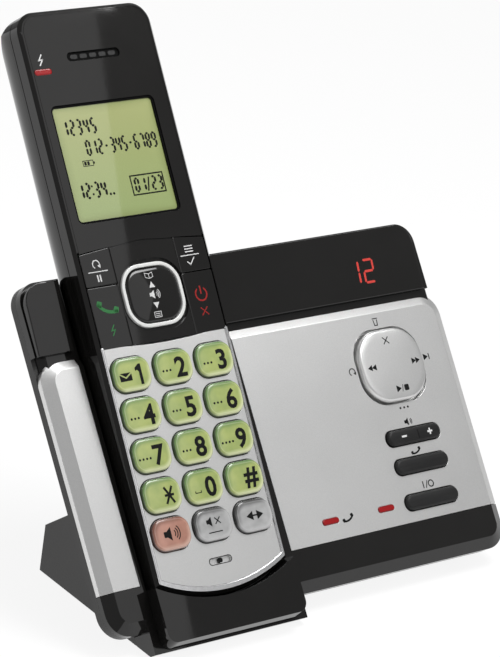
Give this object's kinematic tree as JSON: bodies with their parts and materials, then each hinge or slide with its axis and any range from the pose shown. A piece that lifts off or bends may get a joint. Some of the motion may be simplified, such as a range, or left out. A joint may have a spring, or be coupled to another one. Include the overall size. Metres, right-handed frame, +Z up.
{
  "type": "answering machine",
  "caption": "Cordless telephone answering machine: slanted base with message keys and a two-digit display, and a handset that stands in its cradle.",
  "frame": {"origin": "middle of the bounding box on the table, under the assembled base and handset", "axes": "+Z up, +X to the user's right along the base, +Y to the back, away from the user"},
  "size_m": [0.152, 0.1186, 0.1571],
  "materials": {
    "gloss_black": "gloss, deep black with a clear reflection",
    "shell_black": "fine satin texture",
    "silver_satin": "satin silver paint with fine metallic flake",
    "bright_rim": "bright plated rim",
    "white_ring": "gloss white",
    "soft_key_black": "semi gloss black",
    "key_lime": "translucent, glowing pale yellow green",
    "key_salmon": "translucent salmon",
    "key_grey": "translucent cool grey",
    "key_rubber": "soft matte black rubber",
    "foot_rubber": "matte dark rubber",
    "mat_rubber": "soft translucent silicone rubber",
    "board": "green circuit board",
    "lcd_green": "grey green liquid crystal",
    "display_module": "dark module housing",
    "red_lens": "translucent red",
    "bright_metal": "bright nickel plate",
    "speaker_metal": "dark coated steel",
    "cell_sleeve": "shrink sleeve"
  },
  "bodies": {
    "base": {"rear_shell": "shell_black", "front_cover": "gloss_black", "cradle_lip": "gloss_black", "left_trim_plate": "silver_satin", "control_panel_plate": "silver_satin", "left_cap": "gloss_black", "display_cap": "gloss_black", "base_board": "board", "base_key_mat": "mat_rubber", "loudspeaker": "speaker_metal", "in_use_light": "red_lens", "answer_light": "red_lens", "message_display": "display_module", "shell_screws": "bright_metal", "rubber_feet": "foot_rubber", "line_jack": "shell_black", "power_jack": "shell_black"},
    "handset": {"handset_front_shell": "gloss_black", "handset_rear_shell": "gloss_black", "battery_door": "gloss_black", "charge_terminals": "bright_metal", "display_lens": "gloss_black", "lcd_panel": "lcd_green", "receiver": "display_module", "charge_light": "red_lens", "keypad_plate": "silver_satin", "keypad_rim": "bright_rim", "navigation_ring": "white_ring", "handset_board": "board", "handset_key_mat": "mat_rubber", "microphone": "display_module", "battery_pack": "cell_sleeve"},
    "find_handset_key": {"find_handset_key": "key_rubber"},
    "answer_key": {"answer_key": "key_rubber"},
    "volume_rocker": {"volume_rocker": "key_rubber"},
    "pad_gimbal": {"pad_gimbal": "mat_rubber"},
    "skip_pad": {"skip_pad": "silver_satin"},
    "navigation_key": {"navigation_key": "soft_key_black"},
    "charge_contact_left": {"charge_contact_left": "bright_metal"},
    "charge_contact_right": {"charge_contact_right": "bright_metal"},
    "redial_key": {"redial_key": "soft_key_black"},
    "menu_key": {"menu_key": "soft_key_black"},
    "talk_key": {"talk_key": "soft_key_black"},
    "off_key": {"off_key": "soft_key_black"},
    "key_1": {"key_1": "key_lime"},
    "key_2": {"key_2": "key_lime"},
    "key_3": {"key_3": "key_lime"},
    "key_4": {"key_4": "key_lime"},
    "key_5": {"key_5": "key_lime"},
    "key_6": {"key_6": "key_lime"},
    "key_7": {"key_7": "key_lime"},
    "key_8": {"key_8": "key_lime"},
    "key_9": {"key_9": "key_lime"},
    "key_star": {"key_star": "key_lime"},
    "key_0": {"key_0": "key_lime"},
    "key_hash": {"key_hash": "key_lime"},
    "speaker_key": {"speaker_key": "key_salmon"},
    "mute_key": {"mute_key": "key_grey"},
    "intercom_key": {"intercom_key": "key_grey"}
  },
  "joints": [
    {"name": "handset_lift", "type": "slide", "parent": "base", "child": "handset", "axis": [0, 0, 1], "range_m": [0, 0.08]},
    {"name": "find_handset_key_press", "type": "slide", "parent": "base", "child": "find_handset_key", "axis": [0, 0.7782, -0.628], "range_m": [0, 0.0008], "stiffness_N_per_m": 600, "springref_m": -0.0003},
    {"name": "answer_key_press", "type": "slide", "parent": "base", "child": "answer_key", "axis": [0, 0.7782, -0.628], "range_m": [0, 0.0008], "stiffness_N_per_m": 600, "springref_m": -0.0003},
    {"name": "volume_rocker_tip", "type": "hinge", "parent": "base", "child": "volume_rocker", "pos_m": [0.04995, -0.02389, 0.03578], "axis": [0, 0.628, 0.7782], "range_deg": [-3, 3], "stiffness_Nm_per_rad": 0.15},
    {"name": "pad_tip_up_down", "type": "hinge", "parent": "base", "child": "pad_gimbal", "pos_m": [0.04895, -0.00976, 0.05329], "axis": [1, 0, 0], "range_deg": [-2, 2], "stiffness_Nm_per_rad": 0.2},
    {"name": "pad_tip_left_right", "type": "hinge", "parent": "pad_gimbal", "child": "skip_pad", "pos_m": [0.04895, -0.0105, 0.05389], "axis": [0, 0.628, 0.7782], "range_deg": [-2, 2], "stiffness_Nm_per_rad": 0.2},
    {"name": "navigation_key_tip", "type": "hinge", "parent": "handset", "child": "navigation_key", "pos_m": [-0.03635, 0.00426, 0.08446], "axis": [1, 0, 0], "range_deg": [-3, 3], "stiffness_Nm_per_rad": 0.15},
    {"name": "charge_contact_left_press", "type": "slide", "parent": "base", "child": "charge_contact_left", "axis": [0, 0.8075, -0.5899], "range_m": [0, 0.001], "stiffness_N_per_m": 150, "springref_m": -0.0003},
    {"name": "charge_contact_right_press", "type": "slide", "parent": "base", "child": "charge_contact_right", "axis": [0, 0.8075, -0.5899], "range_m": [0, 0.001], "stiffness_N_per_m": 150, "springref_m": -0.0003},
    {"name": "redial_key_press", "type": "slide", "parent": "handset", "child": "redial_key", "axis": [0, 0.8075, -0.5899], "range_m": [0, 0.0005], "stiffness_N_per_m": 600, "springref_m": -0.0003},
    {"name": "menu_key_press", "type": "slide", "parent": "handset", "child": "menu_key", "axis": [0, 0.8075, -0.5899], "range_m": [0, 0.0005], "stiffness_N_per_m": 600, "springref_m": -0.0003},
    {"name": "talk_key_press", "type": "slide", "parent": "handset", "child": "talk_key", "axis": [0, 0.8075, -0.5899], "range_m": [0, 0.0005], "stiffness_N_per_m": 600, "springref_m": -0.0003},
    {"name": "off_key_press", "type": "slide", "parent": "handset", "child": "off_key", "axis": [0, 0.8075, -0.5899], "range_m": [0, 0.0005], "stiffness_N_per_m": 600, "springref_m": -0.0003},
    {"name": "key_1_press", "type": "slide", "parent": "handset", "child": "key_1", "axis": [0, 0.8075, -0.5899], "range_m": [0, 0.0008], "stiffness_N_per_m": 600, "springref_m": -0.0003},
    {"name": "key_2_press", "type": "slide", "parent": "handset", "child": "key_2", "axis": [0, 0.8075, -0.5899], "range_m": [0, 0.0008], "stiffness_N_per_m": 600, "springref_m": -0.0003},
    {"name": "key_3_press", "type": "slide", "parent": "handset", "child": "key_3", "axis": [0, 0.8075, -0.5899], "range_m": [0, 0.0008], "stiffness_N_per_m": 600, "springref_m": -0.0003},
    {"name": "key_4_press", "type": "slide", "parent": "handset", "child": "key_4", "axis": [0, 0.8075, -0.5899], "range_m": [0, 0.0008], "stiffness_N_per_m": 600, "springref_m": -0.0003},
    {"name": "key_5_press", "type": "slide", "parent": "handset", "child": "key_5", "axis": [0, 0.8075, -0.5899], "range_m": [0, 0.0008], "stiffness_N_per_m": 600, "springref_m": -0.0003},
    {"name": "key_6_press", "type": "slide", "parent": "handset", "child": "key_6", "axis": [0, 0.8075, -0.5899], "range_m": [0, 0.0008], "stiffness_N_per_m": 600, "springref_m": -0.0003},
    {"name": "key_7_press", "type": "slide", "parent": "handset", "child": "key_7", "axis": [0, 0.8075, -0.5899], "range_m": [0, 0.0008], "stiffness_N_per_m": 600, "springref_m": -0.0003},
    {"name": "key_8_press", "type": "slide", "parent": "handset", "child": "key_8", "axis": [0, 0.8075, -0.5899], "range_m": [0, 0.0008], "stiffness_N_per_m": 600, "springref_m": -0.0003},
    {"name": "key_9_press", "type": "slide", "parent": "handset", "child": "key_9", "axis": [0, 0.8075, -0.5899], "range_m": [0, 0.0008], "stiffness_N_per_m": 600, "springref_m": -0.0003},
    {"name": "key_star_press", "type": "slide", "parent": "handset", "child": "key_star", "axis": [0, 0.8075, -0.5899], "range_m": [0, 0.0008], "stiffness_N_per_m": 600, "springref_m": -0.0003},
    {"name": "key_0_press", "type": "slide", "parent": "handset", "child": "key_0", "axis": [0, 0.8075, -0.5899], "range_m": [0, 0.0008], "stiffness_N_per_m": 600, "springref_m": -0.0003},
    {"name": "key_hash_press", "type": "slide", "parent": "handset", "child": "key_hash", "axis": [0, 0.8075, -0.5899], "range_m": [0, 0.0008], "stiffness_N_per_m": 600, "springref_m": -0.0003},
    {"name": "speaker_key_press", "type": "slide", "parent": "handset", "child": "speaker_key", "axis": [0, 0.8075, -0.5899], "range_m": [0, 0.0008], "stiffness_N_per_m": 600, "springref_m": -0.0003},
    {"name": "mute_key_press", "type": "slide", "parent": "handset", "child": "mute_key", "axis": [0, 0.8075, -0.5899], "range_m": [0, 0.0008], "stiffness_N_per_m": 600, "springref_m": -0.0003},
    {"name": "intercom_key_press", "type": "slide", "parent": "handset", "child": "intercom_key", "axis": [0, 0.8075, -0.5899], "range_m": [0, 0.0008], "stiffness_N_per_m": 600, "springref_m": -0.0003}
  ]
}
